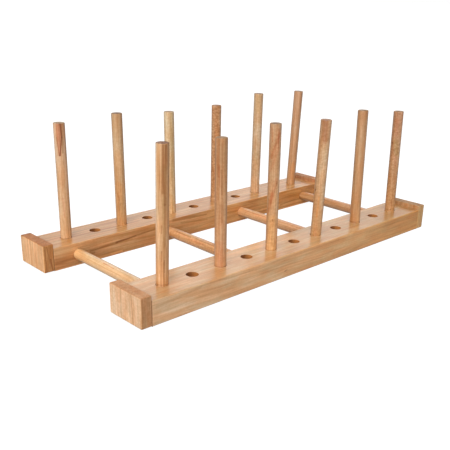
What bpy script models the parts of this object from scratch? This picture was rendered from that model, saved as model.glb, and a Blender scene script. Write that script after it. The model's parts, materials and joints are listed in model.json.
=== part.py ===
"""Wooden plate stand: two capped rails joined by cross dowels, with loose pegs in drilled sockets.

Metres, +Z up. The rails run along X and stand on Z zero, the front rail on the -Y side.
"""

import math

import bmesh
import bpy

# Rails: planed strips with a row of blind peg sockets in their top faces
rail_length = 0.3482
rail_width = 0.0394
rail_height = 0.021
rail_spacing = 0.140  # between the centre lines of the two rails
rail_ease = 0.0015  # radius of the sanded edges

# Peg sockets
socket_count = 11
socket_end_margin = 0.0241  # rail end to the centre of the first socket
socket_floor = 0.006  # wood left below a socket
peg_play = 0.0003  # radial play of a peg in its socket

# Pegs: cut from dowel rod, pushed into every second socket
peg_diameter = 0.010
peg_stand_out = 0.105  # usual height of a peg above the rail
peg_cut_tolerance = 0.005  # how far a peg may be cut off the usual height
peg_chamfer = 0.0005
peg_seat_gap = 0.0003  # under the lowest point of a peg

# Cross dowels: glued into blind holes in the inner faces of the rails
cross_dowel_count = 4
cross_dowel_diameter = 0.010
cross_dowel_chamfer = 0.0005
cross_dowel_wall = 0.004  # wood left between a cross dowel's hole and a peg socket

# End caps: short boards with upright grain over the ends of the rails
cap_thickness = 0.0096
cap_side_step = 0.0003  # how far a cap stands out past each side of its rail
cap_height = 0.0248
cap_lift = 0.0005  # the caps stay clear of the table
cap_ease = 0.0009
cap_shift_limit = 0.0012  # how far a cap may sit sideways of its rail

# Dowel pins: two glued pins hold each cap on its rail
pin_diameter = 0.006
pin_length = 0.020
pin_side_margin = 0.0085  # centre of a pin to the side of its rail
pin_cap_wall = 0.0028  # wood left in front of a pin in the cap
pin_chamfer = 0.0006

# Fits and mesh fineness
glue_gap = 0.0003
cutter_overrun = 0.002
bar_sides = 32
pin_sides = 16
ease_segments = 2
sharp_angle = math.radians(35)

# Each peg's cut length, as a share of the cut tolerance above or below the usual height
peg_trim_shares = {
    "front_peg_1": 0.75,
    "front_peg_2": 0.05,
    "front_peg_3": 0.98,
    "front_peg_4": 0.37,
    "front_peg_5": 0.89,
    "front_peg_6": -0.39,
    "back_peg_1": -0.45,
    "back_peg_2": 0.05,
    "back_peg_3": -0.78,
    "back_peg_4": -0.62,
    "back_peg_5": 0.88,
    "back_peg_6": 0.54,
}

# Each peg's lean towards +X and +Y, as shares of the lean that the play in a socket allows
peg_lean_shares = {
    "front_peg_1": (0.30, -0.21),
    "front_peg_2": (-0.06, 0.17),
    "front_peg_3": (-0.16, 0.02),
    "front_peg_4": (0.52, -0.38),
    "front_peg_5": (-0.10, 0.23),
    "front_peg_6": (-0.28, 0.18),
    "back_peg_1": (0.05, 0.10),
    "back_peg_2": (-0.20, 0.18),
    "back_peg_3": (-0.24, 0.17),
    "back_peg_4": (0.10, 0.06),
    "back_peg_5": (0.12, -0.15),
    "back_peg_6": (0.63, -0.60),
}

# Each cap's sideways place, as a share of the cap shift limit towards +Y
cap_shift_shares = {
    "front_left_cap": 0.50,
    "front_right_cap": 0.0,
    "back_left_cap": 0.0,
    "back_right_cap": -0.10,
}

# Linear colours of the lacquered rubberwood
wood_colours = {
    "front_rail": (0.56, 0.33, 0.18),
    "back_rail": (0.60, 0.38, 0.22),
    "front_left_cap": (0.75, 0.45, 0.25),
    "front_right_cap": (0.47, 0.24, 0.10),
    "back_left_cap": (0.76, 0.42, 0.21),
    "back_right_cap": (0.55, 0.31, 0.15),
    "front_peg_1": (0.52, 0.26, 0.11),
    "front_peg_2": (0.49, 0.23, 0.11),
    "front_peg_3": (0.58, 0.30, 0.14),
    "front_peg_4": (0.59, 0.34, 0.18),
    "front_peg_5": (0.54, 0.28, 0.14),
    "front_peg_6": (0.52, 0.26, 0.13),
    "back_peg_1": (0.66, 0.39, 0.21),
    "back_peg_2": (0.59, 0.31, 0.14),
    "back_peg_3": (0.60, 0.38, 0.19),
    "back_peg_4": (0.53, 0.25, 0.11),
    "back_peg_5": (0.59, 0.36, 0.19),
    "back_peg_6": (0.56, 0.29, 0.15),
}
dowel_colour = (0.72, 0.44, 0.22)
pin_colour = (0.70, 0.50, 0.30)
lacquer_roughness = 0.42
raw_roughness = 0.80

# Sizes that follow from the ones above
socket_radius = peg_diameter / 2 + peg_play
socket_depth = rail_height - socket_floor
socket_pitch = (rail_length - 2 * socket_end_margin) / (socket_count - 1)
first_socket_x = socket_end_margin - rail_length / 2
socket_middle_z = rail_height - socket_depth / 2
lean_limit = math.atan(2 * peg_play / socket_depth)

cross_dowel_pitch = socket_pitch * (socket_count - 1) / (cross_dowel_count - 1)
cross_dowel_z = rail_height / 2
cross_hole_radius = cross_dowel_diameter / 2 + glue_gap
cross_hole_depth = rail_width / 2 - socket_radius - cross_dowel_wall
cross_hole_span = rail_spacing - rail_width + 2 * cross_hole_depth
cross_dowel_length = cross_hole_span - 2 * glue_gap

cap_width = rail_width + 2 * cap_side_step
cap_x = rail_length / 2 + glue_gap + cap_thickness / 2
cap_z = cap_lift + cap_height / 2

pin_hole_radius = pin_diameter / 2 + glue_gap
pin_cap_end_x = rail_length / 2 + glue_gap + cap_thickness - pin_cap_wall
pin_x = pin_cap_end_x - glue_gap - pin_length / 2
pin_hole_length = pin_length + 2 * glue_gap
pin_spacing = rail_width - 2 * pin_side_margin
pin_z = rail_height / 2


def clear_scene():
    """Remove whatever the scene holds."""
    for thing in list(bpy.data.objects):
        bpy.data.objects.remove(thing, do_unlink=True)


def make_collection(name):
    """Add a collection to the scene."""
    collection = bpy.data.collections.new(name)
    bpy.context.scene.collection.children.link(collection)
    return collection


def make_wood(name, colour, roughness):
    """A plain wood finish: colour, roughness and no metal."""
    wood = bpy.data.materials.new(name)
    wood.use_nodes = True
    shader = wood.node_tree.nodes["Principled BSDF"]
    shader.inputs["Base Color"].default_value = (*colour, 1.0)
    shader.inputs["Roughness"].default_value = roughness
    shader.inputs["Metallic"].default_value = 0.0
    wood.diffuse_color = (*colour, 1.0)
    return wood


def make_side(name, y):
    """An empty on the centre line of a rail, which carries the pieces of that side."""
    side = bpy.data.objects.new(name, None)
    side.empty_display_size = rail_height
    side.location = (0, y, 0)
    parts.objects.link(side)
    return side


def add_object(name, mesh, collection, parent, location, rotation):
    """Place a mesh in a collection, in the frame of its parent."""
    thing = bpy.data.objects.new(name, mesh)
    collection.objects.link(thing)
    thing.parent = parent
    thing.location = location
    thing.rotation_euler = rotation
    return thing


def ease_edges(thing, width, segments):
    """Round or chamfer the sharp edges of a piece."""
    bevel = thing.modifiers.new("eased edges", "BEVEL")
    bevel.width = width
    bevel.segments = segments
    bevel.limit_method = "ANGLE"
    bevel.angle_limit = sharp_angle
    return bevel


def board_mesh(name, length, width, height):
    """A box about its own centre, from a cube brought to size."""
    shape = bmesh.new()
    bmesh.ops.create_cube(shape, size=1)
    bmesh.ops.scale(shape, vec=(length, width, height), verts=shape.verts)
    mesh = bpy.data.meshes.new(name)
    shape.to_mesh(mesh)
    shape.free()
    return mesh


def bar_mesh(name, radius, bottom, top, sides):
    """A round bar along local Z, from bottom to top, shaded smooth."""
    shape = bmesh.new()
    bmesh.ops.create_cone(
        shape, cap_ends=True, segments=sides, radius1=radius, radius2=radius, depth=top - bottom
    )
    bmesh.ops.translate(shape, vec=(0, 0, (top + bottom) / 2), verts=shape.verts)
    mesh = bpy.data.meshes.new(name)
    shape.to_mesh(mesh)
    shape.free()
    mesh.shade_smooth()
    mesh.set_sharp_from_angle(angle=sharp_angle)
    return mesh


def add_board(name, size, parent, location, ease):
    """A planed board with eased edges."""
    board = add_object(name, board_mesh(name, *size), parts, parent, location, (0, 0, 0))
    board.data.materials.append(make_wood(name, wood_colours[name], lacquer_roughness))
    ease_edges(board, ease, ease_segments)
    return board


def add_cutter(name, mesh, parent, location, rotation):
    """A hole's shape, seen only as wire."""
    cutter = add_object(name, mesh, cutters, parent, location, rotation)
    cutter.hide_render = True
    cutter.display_type = "WIRE"
    return cutter


def repeat_along(thing, count, step):
    """Copies of a shape at equal steps, each kept as its own closed body."""
    row = thing.modifiers.new("row", "ARRAY")
    row.count = count
    row.use_relative_offset = False
    row.use_constant_offset = True
    row.constant_offset_displace = step
    row.use_merge_vertices = False
    return row


def cut_away(thing, cutter):
    """Cut a hole's shape out of a piece."""
    cut = thing.modifiers.new(cutter.name, "BOOLEAN")
    cut.operation = "DIFFERENCE"
    cut.solver = "EXACT"
    cut.object = cutter
    return cut


def add_rail(name, side):
    """A rail with its row of peg sockets."""
    size = (rail_length, rail_width, rail_height)
    rail = add_board(name, size, side, (0, 0, rail_height / 2), rail_ease)
    mesh = bar_mesh(name + "_sockets", socket_radius, -socket_depth, cutter_overrun, bar_sides)
    place = (first_socket_x, 0, rail_height)
    sockets = add_cutter(name + "_sockets", mesh, side, place, (0, 0, 0))
    repeat_along(sockets, socket_count, (socket_pitch, 0, 0))
    cut_away(rail, sockets)
    return rail


def add_cap(name, side, rail, end):
    """An end cap with the two pins that hold it on its rail; end is -1 or 1 along X."""
    size = (cap_thickness, cap_width, cap_height)
    shift = cap_shift_limit * cap_shift_shares[name]
    cap = add_board(name, size, side, (end * cap_x, shift, cap_z), cap_ease)
    along_x = (0, math.pi / 2, 0)
    half = pin_hole_length / 2
    mesh = bar_mesh(name + "_pin_holes", pin_hole_radius, -half, half, pin_sides)
    place = (end * pin_x, -pin_spacing / 2, pin_z)
    holes = add_cutter(name + "_pin_holes", mesh, side, place, along_x)
    repeat_along(holes, 2, (0, pin_spacing, 0))
    cut_away(cap, holes)
    cut_away(rail, holes)
    for number, way in enumerate((-1, 1), start=1):
        pin_name = f"{name}_pin_{number}"
        mesh = bar_mesh(pin_name, pin_diameter / 2, -pin_length / 2, pin_length / 2, pin_sides)
        place = (end * pin_x, way * pin_spacing / 2, pin_z)
        pin = add_object(pin_name, mesh, parts, side, place, along_x)
        pin.data.materials.append(make_wood(pin_name, pin_colour, raw_roughness))
        ease_edges(pin, pin_chamfer, 1)
    return cap


def add_peg(name, side, number):
    """A loose peg in every second socket, turned about the middle of its socket as it leans."""
    lean_x, lean_y = (share * lean_limit for share in peg_lean_shares[name])
    lift = peg_seat_gap + peg_diameter / 2 * math.sin(math.hypot(lean_x, lean_y))
    bottom = lift - socket_depth / 2
    stand_out = peg_stand_out + peg_cut_tolerance * peg_trim_shares[name]
    top = socket_depth / 2 + stand_out
    mesh = bar_mesh(name, peg_diameter / 2, bottom, top, bar_sides)
    place = (first_socket_x + 2 * (number - 1) * socket_pitch, 0, socket_middle_z)
    peg = add_object(name, mesh, parts, side, place, (-lean_y, lean_x, 0))
    peg.data.materials.append(make_wood(name, wood_colours[name], lacquer_roughness))
    ease_edges(peg, peg_chamfer, 1)
    return peg


def add_cross_dowels(rails):
    """The dowels that join the rails, and the holes they are glued into."""
    along_y = (math.pi / 2, 0, 0)
    half = cross_hole_span / 2
    mesh = bar_mesh("cross_holes", cross_hole_radius, -half, half, bar_sides)
    place = (first_socket_x, 0, cross_dowel_z)
    holes = add_cutter("cross_holes", mesh, None, place, along_y)
    repeat_along(holes, cross_dowel_count, (cross_dowel_pitch, 0, 0))
    for rail in rails:
        cut_away(rail, holes)
    half = cross_dowel_length / 2
    for number in range(cross_dowel_count):
        name = f"cross_dowel_{number + 1}"
        mesh = bar_mesh(name, cross_dowel_diameter / 2, -half, half, bar_sides)
        place = (first_socket_x + number * cross_dowel_pitch, 0, cross_dowel_z)
        dowel = add_object(name, mesh, parts, None, place, along_y)
        dowel.data.materials.append(make_wood(name, dowel_colour, lacquer_roughness))
        ease_edges(dowel, cross_dowel_chamfer, 1)


clear_scene()
parts = make_collection("wooden_plate_stand")
cutters = make_collection("cutters")

rails = []
for side_name, way in (("front", -1), ("back", 1)):
    side = make_side(side_name + "_side", way * rail_spacing / 2)
    rail = add_rail(side_name + "_rail", side)
    add_cap(side_name + "_left_cap", side, rail, -1)
    add_cap(side_name + "_right_cap", side, rail, 1)
    for number in range(1, (socket_count + 1) // 2 + 1):
        add_peg(f"{side_name}_peg_{number}", side, number)
    rails.append(rail)
add_cross_dowels(rails)
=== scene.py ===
import json
import math

import bmesh
import bpy
from mathutils import Euler, Matrix, Vector

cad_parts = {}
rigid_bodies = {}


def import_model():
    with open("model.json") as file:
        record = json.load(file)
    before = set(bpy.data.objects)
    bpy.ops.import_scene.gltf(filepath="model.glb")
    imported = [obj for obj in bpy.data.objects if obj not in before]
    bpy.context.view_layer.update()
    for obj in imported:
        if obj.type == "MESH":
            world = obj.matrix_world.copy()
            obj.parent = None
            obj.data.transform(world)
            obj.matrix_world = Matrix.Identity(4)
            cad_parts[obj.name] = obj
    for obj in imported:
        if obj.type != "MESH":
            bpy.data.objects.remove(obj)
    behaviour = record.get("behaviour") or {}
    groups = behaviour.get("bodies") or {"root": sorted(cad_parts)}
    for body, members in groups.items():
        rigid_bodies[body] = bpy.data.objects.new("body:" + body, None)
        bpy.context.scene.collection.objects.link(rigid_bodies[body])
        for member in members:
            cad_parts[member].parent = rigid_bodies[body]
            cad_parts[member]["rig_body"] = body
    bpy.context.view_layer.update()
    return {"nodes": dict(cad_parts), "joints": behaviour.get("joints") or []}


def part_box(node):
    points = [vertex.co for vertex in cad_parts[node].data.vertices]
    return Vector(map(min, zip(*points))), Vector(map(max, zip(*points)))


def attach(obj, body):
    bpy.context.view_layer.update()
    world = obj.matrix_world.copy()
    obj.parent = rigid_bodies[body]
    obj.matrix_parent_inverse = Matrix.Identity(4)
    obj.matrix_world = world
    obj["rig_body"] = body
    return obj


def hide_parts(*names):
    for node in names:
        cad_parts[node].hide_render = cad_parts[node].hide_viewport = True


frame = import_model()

scene = bpy.context.scene
scene.view_settings.view_transform = "Standard"
metreToMm = 1000.0
nowhere = 1.0  # metres away, beyond every piece
alongX, alongY, upward = (1, 0, 0), (0, 1, 0), (0, 0, 1)


def newObject(name, data):
    thing = bpy.data.objects.new(name, data)
    scene.collection.objects.link(thing)
    return thing


# The camera looks from the left front end, a little above the stand

cameraView = {
    "turn": -43.824, "rise": 20.27, "roll": 1.37,  # degrees, the turn round the stand from its front
    "distance": 0.66256, "target": (-0.009385, 0.0, -0.002168),
    "lens": 54.246, "sensor": 36.0, "shift": (-0.017, 0.04889),
}


def lookFrom(turn, rise):  # direction from the stand towards a place round it, angles in degrees
    turn, rise = math.radians(turn), math.radians(rise)
    return Vector((math.sin(turn) * math.cos(rise), -math.cos(turn) * math.cos(rise), math.sin(rise)))


def placeCamera(view):
    back = lookFrom(view["turn"], view["rise"])
    roll = math.radians(view["roll"])
    right = Vector(upward).cross(back).normalized()
    up = back.cross(right)
    rolledRight = right * math.cos(roll) + up * math.sin(roll)
    rolledUp = up * math.cos(roll) - right * math.sin(roll)
    data = bpy.data.cameras.new("photoCamera")
    data.sensor_width = view["sensor"]
    data.lens = view["lens"]
    data.shift_x, data.shift_y = view["shift"]
    turned = Matrix((rolledRight, rolledUp, back)).transposed().to_4x4()
    turned.translation = Vector(view["target"]) + back * view["distance"]
    scene.camera = newObject("photoCamera", data)
    scene.camera.matrix_world = turned
    print("camera placed")


placeCamera(cameraView)


# Small helpers for shader and geometry trees

def feed(socket, source):  # a socket is linked, anything else is a value
    if isinstance(source, bpy.types.NodeSocket):
        socket.id_data.links.new(source, socket)
    elif source is not None:
        socket.default_value = source


def feedAll(node, inputs):  # inputs go by name or number
    for key, source in inputs.items():
        feed(node.inputs[key], source)
    return node.outputs


def addNode(tree, kind, inputs=None, **settings):  # gives the outputs of the new node
    node = tree.nodes.new(kind)
    for key, value in settings.items():
        setattr(node, key, value)
    return feedAll(node, inputs or {})


def calc(tree, operation, *sources, clamp=False):
    return addNode(tree, "ShaderNodeMath", dict(enumerate(sources)), operation=operation, use_clamp=clamp)[0]


def times(tree, first, second):
    return calc(tree, "MULTIPLY", first, second)


def minus(tree, first, second):
    return calc(tree, "SUBTRACT", first, second)


def total(tree, first, *others):
    for source in others:
        first = calc(tree, "ADD", first, source)
    return first


def fromAxis(tree, x, y):  # distance from the z axis
    return calc(tree, "SQRT", total(tree, times(tree, x, x), times(tree, y, y)))


def vectorCalc(tree, operation, first, second=None):
    key = "Scale" if operation == "SCALE" else 1
    outputs = addNode(tree, "ShaderNodeVectorMath", {0: first, key: second}, operation=operation)
    return outputs["Value" if operation in ("LENGTH", "DOT_PRODUCT") else "Vector"]


def combine(tree, *parts):
    return addNode(tree, "ShaderNodeCombineXYZ", dict(enumerate(parts)))[0]


def split(tree, vector):
    return addNode(tree, "ShaderNodeSeparateXYZ", {0: vector})


def between(tree, value, low, high, newLow=0.0, newHigh=1.0, smooth=True):
    names = ("Value", "From Min", "From Max", "To Min", "To Max")
    inputs = dict(zip(names, (value, low, high, newLow, newHigh)))
    shape = "SMOOTHSTEP" if smooth else "LINEAR"
    return addNode(tree, "ShaderNodeMapRange", inputs, interpolation_type=shape)["Result"]


def blendColour(tree, amount, under, over):  # 6, 7 and 2 are the node's colour sockets
    return addNode(tree, "ShaderNodeMix", {0: amount, 6: under, 7: over}, data_type="RGBA")[2]


def noise(tree, vector, detail=2.0, roughness=0.5, colour=False):
    inputs = {"Vector": vector, "Scale": 1.0, "Detail": detail, "Roughness": roughness}
    return addNode(tree, "ShaderNodeTexNoise", inputs)["Color" if colour else "Fac"]


def socketKind(value):  # a word names the kind of a socket that has no value
    if isinstance(value, str):
        return "NodeSocket" + value
    if isinstance(value, int):
        return "NodeSocketInt"
    if isinstance(value, float):
        return "NodeSocketFloat"
    return "NodeSocketVector" if len(value) == 3 else "NodeSocketColor"


def makeTree(kind, name, inputs, outputs):
    tree = bpy.data.node_groups.new(name, kind)
    for label, value in inputs.items():
        socket = tree.interface.new_socket(label, in_out="INPUT", socket_type=socketKind(value))
        if not isinstance(value, str):
            socket.default_value = value
    for label, value in outputs.items():
        tree.interface.new_socket(label, in_out="OUTPUT", socket_type=socketKind(value))
    return tree, tree.nodes.new("NodeGroupInput").outputs, tree.nodes.new("NodeGroupOutput").inputs


def useGroup(tree, group, values):
    return addNode(tree, "ShaderNodeGroup", values, node_tree=group)


def newMaterial(name):
    material = bpy.data.materials.new(name)
    material.use_nodes = True
    return material, material.node_tree, material.node_tree.nodes["Principled BSDF"]


# Rubberwood: the groups that every wooden piece shares; z runs along the grain, lengths are in millimetres

grainNoise = {  # change per millimetre across and along the grain, then detail and roughness
    "Lines": (0.42, 0.009, 3.0, 0.6), "Fibre": (1.7, 0.035, 4.0, 0.65), "Curl": (0.35, 0.55, 3.0, 0.6),
    "Cloud": (0.07, 0.02, 2.0, 0.5), "Blush": (0.2, 0.05, 2.0, 0.5),
}
grainForm = {
    "bend": (0.05, 0.012), "pores": (2.1, 0.16),  # change across and along, as above
    "contrast": (0.3, 0.7), "poreShare": (0.62, 0.72), "poreRim": (0.38, 0.16),  # from none to full
    "seedJump": (17.3, 31.7, 53.1), "seedAge": 7.1,  # these set the pieces apart
    "ringDrift": 0.0015, "lateWood": 0.3, "lateWoodPower": 5.0, "markStir": (0.6, 0.6, 0.11), "seatShadowCore": 0.4,
}
lacquer = {
    "roughness": 0.36, "roughened": {"Cloud": 0.06, "Pores": 0.12, "End": 0.25}, "specular": 0.25,
    "endCoat": 0.05, "coatRoughness": 0.21, "bump": 0.35, "bumpDepth": 0.00006, "fibreHeight": 0.35,
}
fineNoise = (3.0, 0.6)  # detail and roughness
figures = ("Rings", *grainNoise)
nought, middleGrey = (0.0, 0.0, 0.0), (0.5, 0.5, 0.5)


def makeGrainGroup():
    tree, given, out = makeTree(
        "ShaderNodeTree", "rubberwoodGrain",
        {"Place": nought, "Pith": (30.0, 12.0, 0.0), "Lean": nought, "Ring": 5.0, "Wander": 2.0, "Seed": 0.0},
        dict.fromkeys((*figures, "Pores"), 0.0),
    )
    place, seed = given["Place"], given["Seed"]
    jump = combine(tree, *[times(tree, seed, step) for step in grainForm["seedJump"]])
    shifted = vectorCalc(tree, "ADD", place, jump)

    def stretched(source, across, along):
        return vectorCalc(tree, "MULTIPLY", source, (across, across, along))

    wave = noise(tree, stretched(shifted, *grainForm["bend"]), colour=True)
    wave = vectorCalc(tree, "SUBTRACT", wave, middleGrey)
    bend = vectorCalc(tree, "SCALE", wave, times(tree, given["Wander"], 2.0))  # the wander either way
    bent = vectorCalc(tree, "ADD", shifted, bend)
    leaning = vectorCalc(tree, "SCALE", given["Lean"], split(tree, place)[2])
    pith = vectorCalc(tree, "ADD", given["Pith"], leaning)
    x, y, z = split(tree, vectorCalc(tree, "SUBTRACT", vectorCalc(tree, "ADD", place, bend), pith))
    years = calc(tree, "DIVIDE", fromAxis(tree, x, y), given["Ring"])
    age = total(tree, years, times(tree, seed, grainForm["seedAge"]))
    tone = noise(tree, combine(tree, age, times(tree, z, grainForm["ringDrift"]), 0.0), *fineNoise)
    earlyWood = between(tree, tone, *grainForm["contrast"])
    lateWood = calc(tree, "POWER", calc(tree, "FRACT", age), grainForm["lateWoodPower"])
    share = grainForm["lateWood"]
    feed(out["Rings"], total(tree, times(tree, earlyWood, 1.0 - share), times(tree, lateWood, share)))
    for figure, (across, along, detail, roughness) in grainNoise.items():
        source = stretched(shifted if figure == "Cloud" else bent, across, along)
        level = noise(tree, source, detail, roughness)
        feed(out[figure], between(tree, level, *grainForm["contrast"]))
    porePlace = stretched(bent, *grainForm["pores"])
    cells = addNode(tree, "ShaderNodeTexVoronoi", {"Vector": porePlace, "Scale": 1.0})
    chosen = between(tree, split(tree, cells["Color"])[0], *grainForm["poreShare"])
    feed(out["Pores"], times(tree, between(tree, cells["Distance"], *grainForm["poreRim"]), chosen))
    return tree


def makeMarkGroup():  # a streak, fleck or flame inside the wood, from one point to another
    tree, given, out = makeTree(
        "ShaderNodeTree", "grainMark",
        {"Place": nought, "From": nought, "To": (0.0, 0.0, 10.0), "Width": 1.0, "Taper": 0.5, "Wobble": 0.5,
         "Softness": 0.7},
        {"Mark": 0.0},
    )
    way = vectorCalc(tree, "SUBTRACT", given["To"], given["From"])
    gone = vectorCalc(tree, "SUBTRACT", given["Place"], given["From"])
    done, whole = [vectorCalc(tree, "DOT_PRODUCT", part, way) for part in (gone, way)]
    share = calc(tree, "DIVIDE", done, whole, clamp=True)
    nearest = vectorCalc(tree, "SCALE", way, share)
    off = vectorCalc(tree, "LENGTH", vectorCalc(tree, "SUBTRACT", gone, nearest))
    stir = noise(tree, vectorCalc(tree, "MULTIPLY", given["Place"], grainForm["markStir"]), *fineNoise)
    stir = times(tree, minus(tree, stir, 0.5), given["Wobble"])
    reach = times(tree, given["Width"], minus(tree, 1.0, times(tree, given["Taper"], share)))
    core = times(tree, reach, minus(tree, 1.0, given["Softness"]))
    feed(out["Mark"], between(tree, total(tree, off, stir), reach, core))
    return tree


def makeShadeGroup():  # more figure makes the wood darker, more blush makes it redder
    tree, given, out = makeTree(
        "ShaderNodeTree", "rubberwoodShade",
        {**dict.fromkeys(figures, 0.5), **{figure + " Depth": 0.2 for figure in figures},
         "Pores": 0.0, "Pore Depth": 0.3, "End": 0.0, "Edge": 0.0, "Edge Depth": 0.1,
         "Tone": (0.6, 0.35, 0.18, 1), "Dark": (0.42, 0.26, 0.14, 1), "Red": (1.0, 0.7, 0.5, 1)},
        {"Colour": "Color", "Roughness": 0.0, "Height": 0.0},
    )
    swings = [times(tree, minus(tree, given[figure], 0.5), given[figure + " Depth"]) for figure in figures]
    blush = swings.pop()  # the last of the figures
    darker = total(tree, *swings, times(tree, given["Pores"], given["Pore Depth"]),
                   times(tree, given["Edge"], given["Edge Depth"]))
    colour = given["Tone"]
    for hue, amount in ((given["Dark"], darker), (given["Red"], blush)):
        shades = [calc(tree, "POWER", part, amount) for part in split(tree, hue)]
        colour = vectorCalc(tree, "MULTIPLY", colour, combine(tree, *shades))
    feed(out["Colour"], colour)
    roughened = [times(tree, given[key], amount) for key, amount in lacquer["roughened"].items()]
    feed(out["Roughness"], total(tree, lacquer["roughness"], *roughened))
    feed(out["Height"], minus(tree, times(tree, given["Fibre"], lacquer["fibreHeight"]), given["Pores"]))
    return tree


def makeBoardEdgeGroup():  # one along the eased edges of a board, nought on its faces
    tree, given, out = makeTree(
        "ShaderNodeTree", "boardEdge",
        {"Place": nought, "Half": (10.0, 10.0, 10.0), "Width": 1.2},
        {"Edge": 0.0},
    )
    place = vectorCalc(tree, "ABSOLUTE", given["Place"])
    x, y, z = split(tree, vectorCalc(tree, "SUBTRACT", given["Half"], place))
    nearest = calc(tree, "MINIMUM", x, y)
    second = calc(tree, "MINIMUM", calc(tree, "MAXIMUM", x, y), z)
    feed(out["Edge"], between(tree, calc(tree, "MAXIMUM", nearest, second), given["Width"], 0.0))
    return tree


def makeBarRimGroup():  # one round the eased end rims of a bar, and one where the bar meets another piece, for a painted shadow there
    tree, given, out = makeTree(
        "ShaderNodeTree", "barRim",
        {"Place": nought, "Half": (5.0, 5.0, 60.0), "Width": 1.2, "Low Seat": -nowhere * metreToMm,
         "High Seat": nowhere * metreToMm, "Seat Width": 0.8},
        {"Edge": 0.0, "Seat": 0.0},
    )
    x, y, z = split(tree, given["Place"])
    half = split(tree, given["Half"])
    toSide = minus(tree, half[0], fromAxis(tree, x, y))
    toEnd = minus(tree, half[2], calc(tree, "ABSOLUTE", z))
    feed(out["Edge"], between(tree, total(tree, toSide, toEnd), given["Width"], 0.0))
    low, high = [calc(tree, "ABSOLUTE", minus(tree, z, given[seat])) for seat in ("Low Seat", "High Seat")]
    core = times(tree, given["Seat Width"], grainForm["seatShadowCore"])
    feed(out["Seat"], between(tree, calc(tree, "MINIMUM", low, high), given["Seat Width"], core))
    return tree


grainGroup = makeGrainGroup()
markGroup = makeMarkGroup()
shadeGroup = makeShadeGroup()
boardEdgeGroup = makeBoardEdgeGroup()
barRimGroup = makeBarRimGroup()

plainWood = {  # what a piece's own table leaves open
    "seed": 0.0, "pith": (34.0, 14.0), "lean": (0.0, 0.0), "ring": 5.0, "wander": 2.0,
    "dark": (0.4, 0.25, 0.13), "red": (1.05, 0.68, 0.45), "endTone": (0.5, 0.3, 0.15),
    "rings": 0.25, "lines": 0.22, "fibre": 0.28, "curl": 0.08, "cloud": 0.15, "blush": 0.35,
    # seat is how dark the painted contact shadow is where a bar enters another piece
    "pores": 0.2, "edge": 0.1, "seat": 0.35, "coat": 0.9, "marks": (),
    "facing": (0.55, 0.95),  # how squarely a face must look along its axis for some and for all of its tone
}
tints = {  # what a mark does to the wood's colour at its middle
    "brown": (0.66, 0.54, 0.4), "dark": (0.45, 0.33, 0.23), "red": (0.88, 0.62, 0.5),
    "pale": (1.12, 1.2, 1.28), "orange": (1.02, 0.84, 0.6), "olive": (0.86, 0.88, 0.72),
    # paintedHighlight is a painted highlight, for the lit side of a peg
    "gold": (1.1, 1.05, 0.8), "flame": (0.78, 0.5, 0.4), "paintedHighlight": (1.3, 1.5, 1.8),
    # light brightens the wood; on the rails it is painted highlight and painted light
    "light": (1.45, 1.43, 1.38),
}


def streak(start, end, width, tint, depth, taper=0.5, wobble=0.6, soft=0.8):  # a mark between two points
    shape = {"From": start, "To": end, "Width": width, "Taper": taper, "Wobble": wobble, "Softness": soft}
    return shape, tint, depth


def onFace(axis, level):  # a streak for points that leave out one axis, since the face is flat across it
    def faceStreak(start, end, *rest, **more):
        points = [(*point[:axis], level, *point[axis:]) for point in (start, end)]
        return streak(*points, *rest, **more)
    return faceStreak


def moveMarks(marks, move):
    return [({**shape, "From": move(shape["From"]), "To": move(shape["To"])}, tint, depth)
            for shape, tint, depth in marks]


def tinted(tree, amount, tint):  # white where the amount is nought
    return blendColour(tree, amount, (1, 1, 1, 1), (*tints[tint], 1))


def twoTones(tree, share, tones):  # one tone, or two that change along the grain
    if isinstance(tones[0], tuple):
        return blendColour(tree, share, (*tones[0], 1), (*tones[1], 1))
    return (*tones, 1)


def faceTones(tree, wood, normal, share, faces):  # the tone of all the faces, and a mask of the end grain
    tone, end = twoTones(tree, share, wood["tone"]), 0.0
    for axis, key in faces:
        facing = calc(tree, "ABSOLUTE", vectorCalc(tree, "DOT_PRODUCT", normal, axis))
        mask = between(tree, facing, *wood["facing"])
        tone = blendColour(tree, mask, tone, twoTones(tree, share, wood[key]))
        end = mask if key == "endTone" else end
    return tone, end


def markVeil(tree, place, marks):  # the tints of all the marks, one over the other
    veil = (1.0, 1.0, 1.0)
    for shape, tint, depth in marks:
        mask = useGroup(tree, markGroup, {"Place": place, **shape})["Mark"]
        veil = vectorCalc(tree, "MULTIPLY", veil, tinted(tree, times(tree, mask, depth), tint))
    return veil


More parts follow.
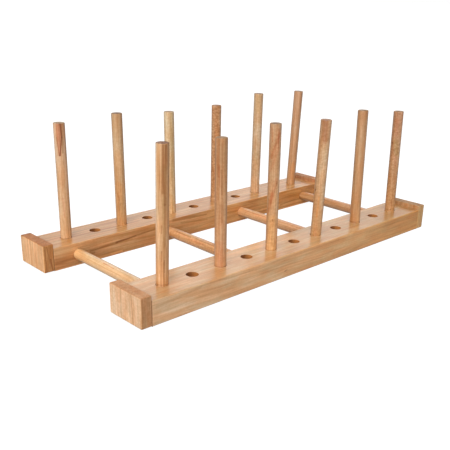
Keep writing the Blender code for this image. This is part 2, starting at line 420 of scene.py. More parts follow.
def makeWood(name, settings, centre, turn, half, faces, edgeGroup, seats=None):
    # centre, turn and half place the grain, z along it; faces pairs an axis with the tone of faces across it
    wood = {**plainWood, **settings}
    material, tree, shader = newMaterial(name)
    source = addNode(tree, "ShaderNodeTexCoord")
    mapped = {"Vector": source["Object"], "Location": centre, "Rotation": turn}
    place = addNode(tree, "ShaderNodeMapping", mapped, vector_type="TEXTURE")[0]
    place = vectorCalc(tree, "SCALE", place, metreToMm)
    grain = useGroup(tree, grainGroup, {
        "Place": place, "Pith": (*wood["pith"], 0.0), "Lean": (*wood["lean"], 0.0), "Ring": wood["ring"],
        "Wander": wood["wander"], "Seed": wood["seed"],
    })
    halfMm = Vector(half) * metreToMm
    share = between(tree, split(tree, place)[2], -halfMm.z, halfMm.z, smooth=False)
    tone, end = faceTones(tree, wood, source["Normal"], share, faces)
    veil = markVeil(tree, place, wood["marks"])
    edges = useGroup(tree, edgeGroup, {"Place": place, "Half": halfMm, **(seats or {})})
    # a painted contact shadow, darker where the bar enters another piece
    if seats:
        seat = tinted(tree, times(tree, edges["Seat"], wood["seat"]), "dark")
        veil = vectorCalc(tree, "MULTIPLY", seat, veil)
    mixed = useGroup(tree, shadeGroup, {
        **{figure: grain[figure] for figure in (*figures, "Pores")},
        **{figure + " Depth": wood[figure.lower()] for figure in figures},
        "Pore Depth": wood["pores"], "End": end, "Edge": edges["Edge"], "Edge Depth": wood["edge"],
        "Tone": vectorCalc(tree, "MULTIPLY", tone, veil),
        "Dark": (*wood["dark"], 1), "Red": (*wood["red"], 1),
    })
    bump = addNode(tree, "ShaderNodeBump", {
        "Strength": lacquer["bump"], "Distance": lacquer["bumpDepth"], "Height": mixed["Height"],
    })
    feedAll(shader, {
        "Base Color": mixed["Colour"], "Roughness": mixed["Roughness"], "Normal": bump[0],
        "Specular IOR Level": lacquer["specular"], "Coat Roughness": lacquer["coatRoughness"],
        "Coat Weight": between(tree, end, 0.0, 1.0, wood["coat"], lacquer["endCoat"]),
    })
    return material


# Geometry trees

def setInput(modifier, label, value):
    for item in modifier.node_group.interface.items_tree:
        if item.item_type == "SOCKET" and item.in_out == "INPUT" and item.name == label:
            modifier[item.identifier] = value
            return
    raise KeyError(label)


def finishSurface(tree, geometry, material):
    real = addNode(tree, "GeometryNodeRealizeInstances", {0: geometry})
    return addNode(tree, "GeometryNodeSetMaterial", {"Geometry": real[0], "Material": material})[0]


def barRows(tree, given):  # height and radius of every row of a bar, rounded at both rims
    rim, rimRows = given["Rim"], given["Rim Rows"]
    index = addNode(tree, "GeometryNodeInputIndex")[0]
    last = minus(tree, given["Rows"], 1.0)
    low, high = [times(tree, calc(tree, "DIVIDE", row, rimRows, clamp=True), math.pi / 2)
                 for row in (index, minus(tree, last, index))]
    middleRows = minus(tree, last, times(tree, rimRows, 2.0))
    share = calc(tree, "DIVIDE", minus(tree, index, rimRows), middleRows, clamp=True)
    span = minus(tree, minus(tree, given["Top"], given["Bottom"]), times(tree, rim, 2.0))
    lowRise = times(tree, rim, minus(tree, 1.0, calc(tree, "COSINE", low)))
    highRise = times(tree, rim, calc(tree, "COSINE", high))
    height = total(tree, given["Bottom"], lowRise, times(tree, span, share), highRise)
    cuts = [minus(tree, 1.0, calc(tree, "SINE", angle)) for angle in (low, high)]
    return height, minus(tree, given["Radius"], times(tree, rim, total(tree, *cuts)))


def makeBarTree():  # a sanded dowel along z with rounded end rims
    tree, given, out = makeTree(
        "GeometryNodeTree", "sandedDowel",
        {"Geometry": "Geometry", "Radius": 0.005, "Bottom": 0.0, "Top": 0.1, "Rim": 0.0006, "Sides": 64,
         "Rows": 60, "Rim Rows": 5, "Unevenness": 0.00004, "Spots": (230.0, 230.0, 28.0), "Seed": 0.0,
         "Finish": "Material"},
        {"Geometry": "Geometry"},
    )
    height, radius = barRows(tree, given)
    line = addNode(tree, "GeometryNodeCurvePrimitiveLine")
    rows = addNode(tree, "GeometryNodeResampleCurve", {"Curve": line[0], "Count": given["Rows"]})
    moved = addNode(tree, "GeometryNodeSetPosition", {
        "Geometry": rows[0], "Position": combine(tree, 0.0, 0.0, height),
    })
    sized = addNode(tree, "GeometryNodeSetCurveRadius", {"Curve": moved[0], "Radius": radius})
    ring = addNode(tree, "GeometryNodeCurvePrimitiveCircle", {"Resolution": given["Sides"], "Radius": 1.0})
    skin = addNode(tree, "GeometryNodeCurveToMesh", {
        "Curve": sized[0], "Profile Curve": ring[0], "Fill Caps": True,
        "Scale": addNode(tree, "GeometryNodeInputRadius")[0],
    })
    position = addNode(tree, "GeometryNodeInputPosition")[0]
    spot = vectorCalc(tree, "MULTIPLY", position, given["Spots"])
    spot = vectorCalc(tree, "ADD", spot, combine(tree, *[given["Seed"]] * 3))
    dip = times(tree, noise(tree, spot), given["Unevenness"])
    x, y = split(tree, position)[:2]
    outward = vectorCalc(tree, "NORMALIZE", combine(tree, x, y, 0.0))
    sanded = addNode(tree, "GeometryNodeSetPosition", {
        "Geometry": skin[0], "Offset": vectorCalc(tree, "SCALE", outward, times(tree, dip, -1.0)),
    })
    feed(out["Geometry"], finishSurface(tree, sanded[0], given["Finish"]))
    return tree


def drillRow(tree, given, label, rotation):  # a row of drills, each a round bar centred on its own point
    drill = addNode(tree, "GeometryNodeMeshCylinder", {
        "Vertices": given["Drill Sides"],
        "Radius": given[label + " Radius"], "Depth": given[label + " Length"],
    }, fill_type="NGON")
    points = addNode(tree, "GeometryNodeMeshLine", {
        "Count": given[label + " Count"], "Start Location": given[label + " Start"],
        "Offset": combine(tree, given[label + " Pitch"], 0.0, 0.0),
    }, mode="OFFSET")
    row = addNode(tree, "GeometryNodeInstanceOnPoints", {
        "Points": points[0], "Instance": drill[0], "Rotation": rotation,
    })
    return addNode(tree, "GeometryNodeRealizeInstances", {0: row[0]})[0]


def makeBoardTree():  # a planed board, with a row of peg sockets and a row of cross holes where it has them
    holes = {"Count": 0, "Pitch": 0.03, "Radius": 0.005, "Length": 0.03, "Start": nought}
    rows = {"Socket": nought, "Cross": (math.pi / 2, 0, 0)}  # how the drills of each row are turned
    tree, given, out = makeTree(
        "GeometryNodeTree", "drilledBoard",
        {"Geometry": "Geometry", "Size": (0.1, 0.02, 0.02), "Drill Sides": 64,
         **{label + " " + key: value for label in rows for key, value in holes.items()},
         "Skin": 0.0001, "Finish": "Material", "Shaded Bore": "Material"},
        {"Geometry": "Geometry"},
    )
    cube = addNode(tree, "GeometryNodeMeshCube", {"Size": given["Size"]})
    method = {"operation": "DIFFERENCE", "solver": "EXACT"}
    cut = addNode(tree, "GeometryNodeMeshBoolean", {"Mesh 1": cube[0]}, **method)["Mesh"]
    for label, rotation in rows.items():
        feed(cut.node.inputs["Mesh 2"], drillRow(tree, given, label, rotation))
    board = finishSurface(tree, cut, given["Finish"])
    place = vectorCalc(tree, "ABSOLUTE", addNode(tree, "GeometryNodeInputPosition")[0])
    half = vectorCalc(tree, "SCALE", given["Size"], 0.5)
    x, y, z = split(tree, vectorCalc(tree, "SUBTRACT", half, place))
    depth = calc(tree, "MINIMUM", calc(tree, "MINIMUM", x, y), z)
    # the inside of the holes gets the shaded bore, with its painted shade
    bored = addNode(tree, "GeometryNodeSetMaterial", {
        "Geometry": board, "Selection": calc(tree, "GREATER_THAN", depth, given["Skin"]),
        "Material": given["Shaded Bore"],
    })
    feed(out["Geometry"], bored[0])
    return tree


barTree = makeBarTree()
boardTree = makeBoardTree()
finishing = {
    "sharpAngle": 30.0, "slack": 0.0001,  # degrees between two faces, metres off a board's side
    "easeSegments": 4, "normalWeight": 100,
}


def bake(thing):  # modifiers become a plain mesh
    bpy.context.view_layer.update()
    evaluated = thing.evaluated_get(bpy.context.evaluated_depsgraph_get())
    mesh = bpy.data.meshes.new_from_object(evaluated)
    thing.modifiers.clear()
    old, thing.data = thing.data, mesh
    mesh.name = thing.name
    bpy.data.meshes.remove(old)


def keepUsedSlots(mesh):
    used = sorted({face.material_index for face in mesh.polygons})
    places = [used.index(face.material_index) for face in mesh.polygons]
    materials = [mesh.materials[number] for number in used]
    mesh.materials.clear()
    for material in materials:
        mesh.materials.append(material)
    mesh.polygons.foreach_set("material_index", places)


def grow(name, tree, values):  # runs a tree on an empty mesh
    thing = newObject(name, bpy.data.meshes.new(name))
    modifier = thing.modifiers.new("grow", "NODES")
    modifier.node_group = tree
    for label, value in values.items():
        setInput(modifier, label, value)
    bake(thing)
    keepUsedSlots(thing.data)
    return thing


def easeEdges(thing, settings, half):  # long edges get the full ease, drilled rims and thin ends get rimEase
    shape = bmesh.new()
    shape.from_mesh(thing.data)
    weight = shape.edges.layers.float.new("bevel_weight_edge")
    rimWeight = settings["rimEase"] / settings["ease"]
    for edge in shape.edges:
        if len(edge.link_faces) == 2 and edge.calc_face_angle() > math.radians(finishing["sharpAngle"]):
            middle = (edge.verts[0].co + edge.verts[1].co) / 2
            onSides = [abs(abs(middle[axis]) - half[axis]) < finishing["slack"] for axis in range(3)]
            atJoint = settings["thinEnds"] and onSides[0] and sum(onSides) == 2
            edge[weight] = 1.0 if sum(onSides) >= 2 and not atJoint else rimWeight if any(onSides) else 0.0
    shape.to_mesh(thing.data)
    shape.free()
    bevel = thing.modifiers.new("ease", "BEVEL")
    bevel.limit_method = "WEIGHT"
    bevel.offset_type = "OFFSET"
    bevel.width = settings["ease"]
    bevel.segments = finishing["easeSegments"]
    bevel.use_clamp_overlap = True
    bevel.loop_slide = True
    bake(thing)


def softNormals(thing):
    thing.data.shade_smooth()
    weighted = thing.modifiers.new("normals", "WEIGHTED_NORMAL")
    weighted.keep_sharp = True
    weighted.weight = finishing["normalWeight"]
    bake(thing)


def settle(thing, node, place):  # moves the mesh to its place and swaps it for the CAD node
    softNormals(thing)
    thing.data.transform(place)
    body = frame["nodes"][node]["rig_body"]
    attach(thing, body)
    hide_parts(node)


# Rails: a mark's points are millimetres from the middle, along X and up on the -Y side, along X and Y on top

sideStreak, topStreak = onFace(1, -19.7), onFace(2, 10.5)  # where those two faces lie
rails = {
    "firstHole": -0.15,  # where the sockets and the cross holes start, along X
    "sockets": 11, "socketPitch": 0.03, "socketRadius": 0.0051, "socketDepth": 0.015,
    "crossHoles": 4, "crossPitch": 0.1, "crossRadius": 0.0051, "crossDepth": 0.0105,
    "drillSides": 64, "overrun": 0.002,  # overrun is how far a drill stands out of the wood
    "ease": 0.0015, "rimEase": 0.00015, "thinEnds": True, "reach": 0.0,  # thin ends get rimEase too
    "front_rail": {
        "seed": 1.0, "pith": (30.0, -16.0), "lean": (0.03, 0.0), "ring": 4.5, "wander": 2.2,
        "rings": 0.2, "lines": 0.18, "fibre": 0.16, "curl": 0.05, "blush": 0.45,
        "pores": 0.12, "edge": -0.06, "coat": 0.75,
        # the side tone is paler at one end: partly the wood, partly a painted falloff of the light along the
        # rail
        "tone": ((0.75, 0.45, 0.24), (0.6, 0.27, 0.07)),
        "topTone": ((0.69, 0.37, 0.16), (0.6, 0.32, 0.12)),
        "endTone": (0.4, 0.22, 0.11),
        "marks": [
            sideStreak((-170, 5), (-128, 8), 2.6, "brown", 0.4, soft=1),
            sideStreak((-32.5, -4), (-29.5, -3.2), 0.9, "dark", 0.8, soft=0.9),
            sideStreak((178, 2), (118, 2), 14, "brown", 0.3, taper=0.2, soft=1),
            # the next two light marks are painted highlights along the top's far edge
            topStreak((-76, 14), (4, 14), 14, "light", 0.75, taper=0, soft=1),
            topStreak((60, 15), (174, 15), 12, "light", 0.35, taper=0, soft=1),
            # painted reflection of the right end cap in the glossy top, darker beside the cap
            topStreak((171, -12), (171, 2), 10, "brown", 0.6, taper=0.2, soft=1),
            topStreak((20, -10), (176, -10), 12, "brown", 0.3, taper=0, soft=1),
            topStreak((-122, -9), (-78, -9), 9, "brown", 0.2, taper=0, soft=1),
            topStreak((-105, -14), (-98, -8), 5, "orange", 0.6, taper=0, soft=1),
        ],
    },
    "back_rail": {
        "seed": 2.0, "pith": (-22.0, -20.0), "lean": (0.02, 0.0), "ring": 4.0, "wander": 3.0,
        "rings": 0.3, "lines": 0.28, "fibre": 0.22, "curl": 0.05, "cloud": 0.2, "blush": 0.4,
        "pores": 0.1, "edge": -0.06, "coat": 0.6,
        "tone": ((0.59, 0.27, 0.1), (0.66, 0.27, 0.07)),
        "topTone": ((0.58, 0.27, 0.09), (0.6, 0.29, 0.1)),
        "endTone": (0.36, 0.18, 0.08),
        "marks": [
            sideStreak((-173, -3.8), (-134, -2.6), 1.9, "brown", 0.7, taper=0.2),
            sideStreak((-138, -0.5), (-110, 1.3), 1.5, "brown", 0.8, taper=-0.3),
            sideStreak((-110, 1.3), (-64, 5), 2, "brown", 0.9, taper=0.4),
            sideStreak((-43, 9), (0, 6.5), 2.2, "brown", 0.7, taper=0.3),
            sideStreak((-109, 1.6), (-88, 3.1), 1.3, "dark", 0.7),
            # painted light, lifting the shade beside the first cross dowel
            sideStreak((-136, -8.4), (-104, -8.2), 3, "light", 0.9, soft=0.9),
            sideStreak((170, 7), (148, 6.5), 2.8, "brown", 0.6),
            # painted reflection of the right end cap in the glossy top, darker beside the cap
            topStreak((168, 6), (164, -16), 13, "brown", 0.5, taper=0, soft=1),
            topStreak((-152, -6), (-104, -6), 7, "brown", 0.3, taper=0, soft=1),
            # painted highlight along the top's far edge
            topStreak((-20, 11), (152, 13), 10, "light", 0.35, taper=0, soft=1),
            # painted highlight along the top's near edge
            streak((-148, -19, 10.4), (-72, -19, 10.4), 1.8, "pale", 0.9, taper=0),
            sideStreak((-148, 4.8), (-78, 5.4), 2.2, "brown", 0.35, taper=0),
            sideStreak((-33, 4.5), (2, 0.5), 1.4, "brown", 0.6),
            sideStreak((58, -6.6), (92, -6.2), 1.4, "brown", 0.6),
            sideStreak((112, -4.8), (136, -2.9), 1.3, "brown", 0.8),
            sideStreak((136, -2.9), (156, -3.3), 1.2, "brown", 0.6),
        ],
    },
}
boreWoodAndShade = {  # raw wood inside a drilled hole with painted shade on it, darkest where the wall looks towards shadeWay
    "pale": (0.56, 0.22, 0.06), "dark": (0.24, 0.09, 0.03), "shadeWay": (0.72, -0.69, 0.0),
    "shadeRange": (-0.7, 0.6), "specks": 900.0, "roughness": 0.8, "specular": 0.1,
}


def makeShadedBore():
    material, tree, shader = newMaterial("drilledWoodShaded")
    source = addNode(tree, "ShaderNodeTexCoord")
    uneven = noise(tree, vectorCalc(tree, "SCALE", source["Object"], boreWoodAndShade["specks"]), *fineNoise)
    # painted shade inside the hole: a wall is darker the more it looks towards shadeWay
    facing = vectorCalc(tree, "DOT_PRODUCT", source["Normal"], boreWoodAndShade["shadeWay"])
    shade = between(tree, total(tree, facing, minus(tree, uneven, 0.5)), *boreWoodAndShade["shadeRange"])
    feedAll(shader, {
        "Base Color": blendColour(tree, shade, (*boreWoodAndShade["pale"], 1), (*boreWoodAndShade["dark"], 1)),
        "Roughness": boreWoodAndShade["roughness"], "Specular IOR Level": boreWoodAndShade["specular"],
    })
    return material


shadedBore = makeShadedBore()
grainAlongX, grainUpward = (0, math.pi / 2, 0), (0, 0, 0)  # how the grain's z axis is turned


def boardPlace(node):  # middle and half size of a CAD board
    low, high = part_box(node)
    return (low + high) / 2, (high - low) / 2


def grainHalf(half, turn):  # half size in the grain's own axes
    return (half.z, half.y, half.x) if turn == grainAlongX else tuple(half)


def makeBoard(node, settings, faces, turn, drills):
    centre, half = boardPlace(node)
    reach = Vector((settings["reach"] / 2, 0, 0))
    centre += reach if centre.x < 0 else -reach
    half += reach
    wood = settings[node]
    back = Euler(turn).to_matrix().inverted()
    marks = moveMarks(wood.get("marks", ()), lambda point: back @ Vector(point))
    finish = makeWood(node + "Finish", {**wood, "marks": marks}, centre, turn, grainHalf(half, turn), faces,
                      boardEdgeGroup)
    values = {"Size": half * 2, "Finish": finish, "Shaded Bore": shadedBore}
    board = grow(node + "_wood", boardTree, {**values, **drills})
    easeEdges(board, settings, half)
    settle(board, node, Matrix.Translation(centre))


def makeRail(node, inward):  # inward is 1 when the cross dowels are on the +Y side
    half = boardPlace(node)[1]
    overrun = rails["overrun"]
    drills = {
        "Drill Sides": rails["drillSides"],
        "Socket Count": rails["sockets"], "Socket Pitch": rails["socketPitch"],
        "Socket Radius": rails["socketRadius"], "Socket Length": rails["socketDepth"] + overrun,
        "Socket Start": (rails["firstHole"], 0, half.z - rails["socketDepth"] / 2 + overrun / 2),
        "Cross Count": rails["crossHoles"], "Cross Pitch": rails["crossPitch"],
        "Cross Radius": rails["crossRadius"], "Cross Length": rails["crossDepth"] + overrun,
        "Cross Start": (rails["firstHole"], inward * (half.y - rails["crossDepth"] / 2 + overrun / 2), 0),
    }
    makeBoard(node, rails, [(upward, "topTone"), (alongX, "endTone")], grainAlongX, drills)


makeRail("front_rail", 1)
makeRail("back_rail", -1)
print("rails made")

# End caps: upright grain, the broad faces look along the rails; a mark's points are millimetres from the
# middle, along Y and up on the broad face, along X and up on the narrow one

broadStreak, narrowStreak = onFace(0, -4.8), onFace(1, -20)  # where those two faces lie
caps = {
    "ease": 0.0009, "rimEase": 0.0003, "thinEnds": False, "reach": 0.00025,  # reach closes a gap to the rail
    "front_left_cap": {
        "seed": 3.0, "pith": (10.0, 60.0), "rings": 0.12, "lines": 0.1, "fibre": 0.3, "curl": 0.15,
        # broadTone is far paler than tone: partly the grain, partly painted light on the outer broad face,
        # which faces the key light
        "tone": (0.56, 0.28, 0.12), "broadTone": (0.85, 0.51, 0.28), "endTone": (0.61, 0.31, 0.15),
        "marks": [
            broadStreak((5, 13), (5.5, -12), 0.9, "brown", 0.7, taper=0.3),
            broadStreak((-8, 12), (-10, -12), 0.9, "brown", 0.8, taper=0.2),
            broadStreak((-5, -11), (-3, -6), 5, "light", 0.4, taper=0.2, soft=1),
        ],
    },
    "front_right_cap": {
        "seed": 4.0, "pith": (-12.0, 70.0), "lines": 0.3,
        "tone": (0.51, 0.26, 0.08), "broadTone": (0.48, 0.24, 0.1), "endTone": (0.42, 0.23, 0.11),
    },
    "back_left_cap": {
        "seed": 5.0, "pith": (16.0, -65.0), "ring": 3.2, "rings": 0.18, "lines": 0.18, "fibre": 0.45,
        # broadTone is far paler than tone: partly the grain, partly painted light on the outer broad face,
        # which faces the key light
        "tone": (0.51, 0.21, 0.06), "broadTone": (0.84, 0.43, 0.18), "endTone": (0.48, 0.2, 0.08),
        "marks": [
            # the next two marks are painted shade along the cap's far edges, which turn away from the light
            broadStreak((19, 13), (19, -2), 3.5, "brown", 0.6, soft=1),
            streak((-4.8, 18.5, 12.4), (4.8, 18.5, 12.4), 4.5, "brown", 0.6, taper=0, soft=1),
            narrowStreak((-3.6, 9), (-2.8, -10), 0.7, "brown", 0.5),
            narrowStreak((-1.2, 11), (0.6, -4), 0.9, "brown", 0.7),
            narrowStreak((1.5, -1), (3, -12), 1.4, "brown", 0.9),
        ],
    },
    "back_right_cap": {
        "seed": 6.0, "pith": (-8.0, -60.0), "ring": 5.4, "lines": 0.3,
        "tone": (0.5, 0.27, 0.12), "broadTone": (0.49, 0.21, 0.09), "endTone": (0.49, 0.22, 0.1),
    },
}

for node in caps:
    if node.endswith("_cap"):
        makeBoard(node, caps, [(alongX, "broadTone"), (upward, "endTone")], grainUpward, {})
print("end caps made")

# Pegs and cross dowels: a mark's points are a turn in degrees and a place along the bar in millimetres, which
# is the height over the table on a peg and the distance from the stand's middle on a cross dowel

# at a peg's foot the first of its two tones is mostly the paler: partly the wood, partly painted warm light
# bounced up from the rail top
pegs = {
    "rim": 0.0006, "sides": 64, "rows": 70, "unevenness": 0.00006,  # rim rounds the ends, in metres
    "front_peg_1": {
        "seed": 11.0, "rings": 0.35, "lines": 0.5,
        "tone": ((0.66, 0.33, 0.14), (0.54, 0.27, 0.11)), "endTone": (0.25, 0.11, 0.05),
        "marks": [
            # painted highlight down the side of the peg that faces the key light
            streak((-88, 128), (-92, 26), 4.8, "paintedHighlight", 0.9, taper=0),
            streak((-35, 128), (-35, 93), 1.7, "brown", 0.75, taper=0.2, soft=1),
            streak((-12, 127), (-14, 84), 1.8, "brown", 0.8, taper=0.1, soft=1),
            streak((-14, 84), (-16, 52), 1.5, "brown", 0.5, taper=0.2),
            streak((-22, 112), (-20, 50), 2.6, "olive", 0.45),
            streak((-44, 68), (-44, 62), 0.9, "brown", 0.7),
            streak((-42, 48), (-42, 40), 0.8, "brown", 0.8),
            streak((-16, 41), (-16, 31), 0.6, "dark", 0.6),
        ],
    },
    "front_peg_2": {
        "seed": 12.0, "rings": 0.22, "lines": 0.16, "curl": 0.15,
        "tone": ((0.6, 0.3, 0.14), (0.48, 0.23, 0.09)), "endTone": (0.37, 0.21, 0.1),
        "marks": [
            streak((-78, 125), (-70, 96), 2.6, "red", 0.5),
            streak((-36, 122), (-38, 101), 1.3, "brown", 0.45),
            streak((-40, 101), (-34, 82), 1.2, "brown", 0.7, taper=0.2, wobble=1.5),
            streak((-62, 105), (-55, 88), 1.2, "red", 0.6, wobble=1.2),
            streak((-36, 73), (-30, 59), 2.8, "brown", 0.4, wobble=2),
            streak((-44, 57), (-46, 45), 2.8, "pale", 0.35, wobble=2),
            # painted warm light bounced up from the rail top, at the peg's foot
            streak((-50, 41), (-44, 22), 4.5, "red", 0.45, taper=0, wobble=2.5),
        ],
    },
    "front_peg_3": {
        "seed": 13.0, "curl": 0.2,
        "tone": ((0.65, 0.33, 0.14), (0.5, 0.26, 0.12)), "endTone": (0.27, 0.15, 0.07),
        "marks": [
            streak((-84, 127), (-74, 117), 1.6, "red", 0.6),
            streak((-12, 127), (-14, 112), 1.3, "red", 0.7),
            streak((-5, 123), (-80, 103), 2.5, "red", 0.7, taper=0.2),
            streak((-10, 111), (-85, 92), 2.2, "red", 0.5, taper=0.2),
            streak((-22, 119), (-58, 110), 1.2, "brown", 0.4),
            streak((-15, 85), (-70, 65), 2.6, "red", 0.5, taper=0.2, wobble=1.6),
            streak((-12, 83), (-72, 62), 0.9, "brown", 0.5, taper=0.2, wobble=1.2),
            streak((-60, 72), (-98, 55), 2.4, "red", 0.6, taper=0.1, wobble=1.6),
            streak((-8, 100), (-80, 82), 0.8, "brown", 0.35, taper=0.2, wobble=1.2),
            # painted warm light bounced up from the rail top, at the peg's foot
            streak((-44, 50), (-44, 22), 5.5, "gold", 0.6, taper=0, wobble=2.5),
            streak((-45, 49.5), (-43, 48), 0.8, "dark", 0.8),
        ],
    },
    "front_peg_4": {
        "seed": 14.0, "curl": 0.22, "lines": 0.15,
        "tone": ((0.49, 0.24, 0.09), (0.56, 0.32, 0.16)), "endTone": (0.45, 0.26, 0.17),
        "marks": [
            streak((-60, 128), (-48, 113), 5.2, "brown", 0.4, taper=0.1, wobble=4.5),
            streak((-60, 128), (-48, 113), 5.2, "red", 0.7, taper=0.1, wobble=3),
            streak((-78, 107), (-8, 113), 0.9, "brown", 0.7, taper=0.1),
            streak((-44, 102), (-44, 78), 5.2, "pale", 0.8, taper=0.1, wobble=2.5),
            streak((-102, 66.5), (-102, 65), 1, "dark", 1),
            streak((-52, 60), (-58, 41), 1.3, "orange", 0.9, taper=0.2),
            # painted warm light bounced up from the rail top, at the peg's foot
            streak((-44, 48), (-44, 22), 5, "orange", 0.35, taper=0),
        ],
    },
    "front_peg_5": {
        "seed": 15.0, "lines": 0.25,
        "tone": ((0.54, 0.28, 0.12), (0.46, 0.23, 0.1)), "endTone": (0.37, 0.24, 0.14),
        "marks": [
            streak((-97, 71), (-95, 59), 1.4, "brown", 0.5),
            # painted warm light bounced up from the rail top, at the peg's foot
            streak((-44, 40), (-44, 22), 5, "orange", 0.4, taper=0),
        ],
    },
    "front_peg_6": {
        "seed": 16.0, "curl": 0.35,
        "tone": ((0.51, 0.26, 0.1), (0.49, 0.24, 0.12)), "endTone": (0.35, 0.2, 0.1),
        "marks": [
            streak((-62, 92), (-30, 80), 4.6, "olive", 1, taper=0.1, wobble=2.5),
            streak((-100, 91), (-96, 89.5), 1, "dark", 0.8),
            streak((-3, 90), (0, 88), 1.1, "dark", 0.8),
            streak((-70, 84), (-64, 81), 1, "brown", 0.8),
            streak((-20, 86), (-26, 79), 0.9, "brown", 0.8),
            streak((-60, 114), (-55, 99), 3, "red", 0.5, wobble=2),
            streak((-50, 77), (-40, 66), 2.8, "red", 0.4, wobble=2),
            # painted warm light bounced up from the rail top, at the peg's foot
            streak((-44, 42), (-44, 22), 5, "orange", 0.35, taper=0),
        ],
    },
    "back_peg_1": {
        "seed": 17.0,
        "tone": ((0.71, 0.42, 0.21), (0.6, 0.32, 0.16)), "endTone": (0.42, 0.28, 0.16),
        "marks": [
            streak((-33, 126), (-41, 97), 3, "flame", 0.8, taper=0.45, soft=0.3, wobble=0.4),
            streak((4, 126), (-8, 99), 2, "brown", 0.7, taper=0.3),
            streak((-20, 125), (-10, 112), 0.8, "dark", 0.8, taper=0, soft=0.6, wobble=0.2),
            streak((-10, 112), (-38, 96.5), 0.8, "dark", 0.8, taper=0, soft=0.6, wobble=0.2),
            streak((-64, 112), (-42, 96.5), 0.6, "brown", 0.7, taper=0, soft=0.6, wobble=0.2),
            # painted highlight down the side of the peg that faces the key light
            streak((-95, 126), (-95, 92), 3.2, "paintedHighlight", 0.4),
            streak((-44, 96), (-44, 87), 0.9, "brown", 0.4),
            streak((-36, 58), (-34, 41), 1.8, "red", 0.6),
        ],
    },
    "back_peg_2": {
        "seed": 18.0, "curl": 0.12,
        "tone": ((0.58, 0.31, 0.13), (0.53, 0.31, 0.15)), "endTone": (0.29, 0.18, 0.11),
        "marks": [
            streak((-62, 125), (-60, 80), 2.4, "pale", 0.4),
            # painted warm light bounced up from the rail top, at the peg's foot
            streak((-50, 62), (-44, 24), 4.8, "orange", 0.55, taper=0, wobble=2.5),
            streak((-64, 53), (-48, 46), 1.1, "brown", 0.5),
            streak((-38, 44), (-52, 37), 1.2, "brown", 0.45),
            streak((-28, 34), (-42, 27), 1.2, "brown", 0.4),
        ],
    },
    "back_peg_3": {
        "seed": 19.0, "curl": 0.15,
        "tone": ((0.67, 0.42, 0.2), (0.65, 0.45, 0.25)), "endTone": (0.39, 0.25, 0.14),
        "marks": [
            streak((-8, 121), (-10, 58), 2.4, "olive", 0.5),
            # painted warm light bounced up from the rail top, at the peg's foot
            streak((-20, 40), (-20, 24), 2.4, "orange", 0.5),
        ],
    },
    "back_peg_4": {
        "seed": 20.0, "curl": 0.55, "fibre": 0.15,
        "tone": ((0.52, 0.25, 0.1), (0.5, 0.25, 0.11)), "endTone": (0.37, 0.2, 0.11),
        "marks": [
            streak((-28, 126), (-28, 93), 3.8, "orange", 0.5, taper=0, wobble=2),
            streak((-30, 120), (-24, 96), 2.4, "brown", 0.35, wobble=2.5),
        ],
    },
    "back_peg_5": {
        "seed": 21.0, "curl": 0.2,
        "tone": ((0.67, 0.41, 0.23), (0.53, 0.32, 0.16)), "endTone": (0.39, 0.25, 0.17),
        "marks": [
            streak((-44, 130), (-44, 112), 4.5, "gold", 0.35, taper=0.1, wobble=2.5),
            streak((-44, 66), (-44, 57), 3.5, "olive", 0.4, wobble=2),
            # painted warm light bounced up from the rail top, at the peg's foot
            streak((-44, 57), (-44, 22), 5.5, "orange", 0.4, taper=0, wobble=2),
        ],
    },
    "back_peg_6": {
        "seed": 22.0, "lines": 0.2,
        "tone": ((0.52, 0.26, 0.11), (0.5, 0.27, 0.14)), "endTone": (0.34, 0.22, 0.14),
        "marks": [
            streak((0, 128), (-2, 109), 1.6, "brown", 0.6),
            streak((-6, 71), (-2, 47), 1.6, "brown", 0.5),
            # painted warm light bounced up from the rail top, at the peg's foot
            streak((-42, 47), (-40, 24), 4.4, "orange", 0.6, taper=0),
        ],
    },
}
crossDowels = {
    "rim": 0.0005, "sides": 64, "rows": 70, "unevenness": 0.00006,
    "cross_dowel_1": {
        "seed": 31.0, "lines": 0.15, "fibre": 0.2,
        "tone": ((0.84, 0.53, 0.28), (0.74, 0.42, 0.18)),
        "marks": [
            streak((-25, -34), (-28, -8), 0.8, "brown", 0.35, taper=0.2),
            streak((-28, -8), (-20, 8), 1, "red", 1, taper=0.2),
            streak((-24, 2), (-30, 30), 0.7, "brown", 0.45, wobble=1.2),
            streak((-60, -20), (-62, 30), 0.8, "brown", 0.2),
        ],
    },
    "cross_dowel_2": {
        "seed": 32.0, "rings": 0.35, "lines": 0.35, "curl": 0.25,
        "tone": ((0.78, 0.39, 0.16), (0.51, 0.21, 0.07)),
        "marks": [
            streak((-30, -20), (-28, 5), 1.4, "brown", 0.8, wobble=2),
            streak((-12, -6), (-22, 26), 1.2, "olive", 0.9, wobble=1.6),
            streak((-55, -10), (-50, 24), 1.6, "red", 0.6, wobble=1.6),
            streak((-35, 12), (-32, 34), 1.2, "brown", 0.7, wobble=2),
            streak((-5, 28), (-15, 44), 1.6, "olive", 0.5),
        ],
    },
    "cross_dowel_3": {
        "seed": 33.0, "lines": 0.3, "curl": 0.15,
        "tone": ((0.71, 0.37, 0.18), (0.71, 0.35, 0.15)),
        "marks": [
            streak((-20, -30), (-30, -6), 1.6, "red", 0.4, wobble=1.5),
            streak((-45, 8), (-40, 40), 1.4, "red", 0.5, wobble=1.5),
            streak((-15, 20), (-18, 48), 1.4, "olive", 0.5, wobble=1.5),
        ],
    },
    "cross_dowel_4": {
        "seed": 34.0, "lines": 0.3,
        "tone": ((0.65, 0.32, 0.15), (0.47, 0.21, 0.07)),
        "marks": [
            streak((-30, -28), (-25, 10), 1.8, "red", 0.5, wobble=1.2),
            streak((-10, -6), (-10, 14), 1.4, "olive", 0.4),
        ],
    },
}


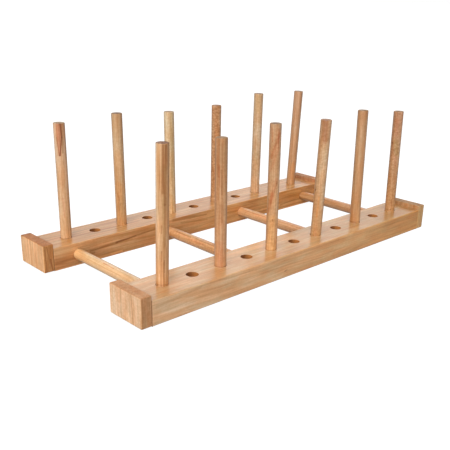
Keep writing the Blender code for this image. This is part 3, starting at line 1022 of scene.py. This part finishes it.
def barPlace(node, axis):  # middle, half length and radius of a CAD bar along an axis
    points = [vertex.co for vertex in frame["nodes"][node].data.vertices]
    heights = [point.dot(axis) for point in points]
    low, high = min(heights), max(heights)
    middle = sum(points, Vector()) / len(points)
    middle += axis * ((low + high) / 2 - middle.dot(axis))
    radius = max((point - middle - axis * (point - middle).dot(axis)).length for point in points)
    return middle, (high - low) / 2, radius


def wrapMarks(marks, radius, middle):  # turn nought faces -Y on a peg, and up on a cross dowel
    def onSkin(point):
        turn = math.radians(point[0])
        return radius * math.sin(turn), -radius * math.cos(turn), point[1] - middle
    return moveMarks(marks, onSkin)


def makeBar(node, axis, settings, seats):  # seats are where the bar enters other pieces, along its axis
    middle, half, radius = barPlace(node, axis)
    shift = middle.dot(axis)
    low, high = [(seat - shift) * metreToMm for seat in seats]
    turn = Vector(upward).rotation_difference(axis).to_euler()
    wood = settings[node]
    marks = wrapMarks(wood["marks"], radius * metreToMm, shift * metreToMm)
    finish = makeWood(node + "Finish", {**wood, "marks": marks}, middle, turn, (radius, radius, half),
                      [(axis, "endTone")], barRimGroup, {"Low Seat": low, "High Seat": high})
    bar = grow(node + "_wood", barTree, {
        "Radius": radius, "Bottom": -half, "Top": half, "Finish": finish, "Seed": wood["seed"],
        "Rim": settings["rim"], "Sides": settings["sides"], "Rows": settings["rows"],
        "Unevenness": settings["unevenness"],
    })
    settle(bar, node, Matrix.Translation(middle) @ turn.to_matrix().to_4x4())


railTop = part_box("front_rail")[1].z
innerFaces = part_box("front_rail")[1].y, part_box("back_rail")[0].y
for joint in frame["joints"]:  # a peg is seated at its lower end only
    makeBar(joint["child"], Vector(joint["axis"]).normalized(), pegs, (railTop, nowhere))
for node in crossDowels:
    if node.startswith("cross_dowel_"):
        makeBar(node, Vector(alongY), crossDowels, innerFaces)
print("pegs and cross dowels made")

# Dowel pins, hidden inside the joints

pins = {"seed": 41.0, "tone": (0.68, 0.48, 0.29), "endTone": (0.5, 0.34, 0.2)}


def dressPin(node):
    centre, half = boardPlace(node)
    finish = makeWood(node + "Finish", pins, centre, grainAlongX, grainHalf(half, grainAlongX),
                      [(alongX, "endTone")], barRimGroup)
    for slot in frame["nodes"][node].material_slots:
        slot.material = finish


for node in sorted(frame["nodes"]):
    if "_pin_" in node:
        dressPin(node)
print("dowel pins dressed")

# A pale floor in an even white studio, brightest behind the stand

studio = {
    "floorSize": 120.0, "floorDrop": 0.0002, "floorColour": (0.22, 0.22, 0.22), "floorRoughness": 0.9,
    "floorGlow": 0.14, "floorBackdrop": 0.92, "backdrop": 1.0, "ambient": 0.24,
    "wall": {"turn": 138.0, "rise": 30.0, "spread": 30.0, "glow": 1.1},  # a bright panel behind the stand
    "lights": {  # turn round the stand from the front and rise, in degrees; spread is how wide each one looks
        "keyBox": {"turn": -57.0, "rise": 28.0, "spread": 60.0, "strength": 2.75},
        "topBox": {"turn": 0.0, "rise": 85.0, "spread": 70.0, "strength": 0.8},
    },
}
white = (1, 1, 1, 1)


def seenOrLit(tree, lit, seen):  # one value for the light that a thing gives, another for its picture
    ray = addNode(tree, "ShaderNodeLightPath")["Is Camera Ray"]
    return between(tree, ray, 0.0, 1.0, lit, seen, smooth=False)


def makeFloor():
    data = bpy.data.meshes.new("floor")
    shape = bmesh.new()
    bmesh.ops.create_grid(shape, x_segments=1, y_segments=1, size=studio["floorSize"] / 2)
    shape.to_mesh(data)
    shape.free()
    floor = newObject("floor", data)
    floor.location = (0, 0, -studio["floorDrop"])
    material, tree, shader = newMaterial("paleFloor")
    feedAll(shader, {
        "Base Color": (*studio["floorColour"], 1), "Roughness": studio["floorRoughness"],
        "Specular IOR Level": 0.0, "Emission Color": white,
        "Emission Strength": seenOrLit(tree, studio["floorGlow"], studio["floorBackdrop"]),
    })
    data.materials.append(material)


def makeWorld():
    world = bpy.data.worlds.new("paleStudio")
    world.use_nodes = True
    tree = world.node_tree
    wall = studio["wall"]
    direction = addNode(tree, "ShaderNodeTexCoord")["Generated"]
    facing = vectorCalc(tree, "DOT_PRODUCT", direction, lookFrom(wall["turn"], wall["rise"]))
    edge = math.cos(math.radians(wall["spread"]))
    light = total(tree, studio["ambient"], between(tree, facing, edge, 1.0, 0.0, wall["glow"]))
    strength = seenOrLit(tree, light, studio["backdrop"])
    feedAll(tree.nodes["Background"], {"Color": white, "Strength": strength})
    scene.world = world


def makeLights():
    for name, light in studio["lights"].items():
        away = lookFrom(light["turn"], light["rise"])
        lamp = bpy.data.lights.new(name, "SUN")
        lamp.angle = math.radians(light["spread"])
        lamp.energy = light["strength"]
        lampObject = newObject(name, lamp)
        lampObject.location = away
        lampObject.rotation_euler = away.to_track_quat("Z", "Y").to_euler()


makeFloor()
makeWorld()
makeLights()
print("studio made")
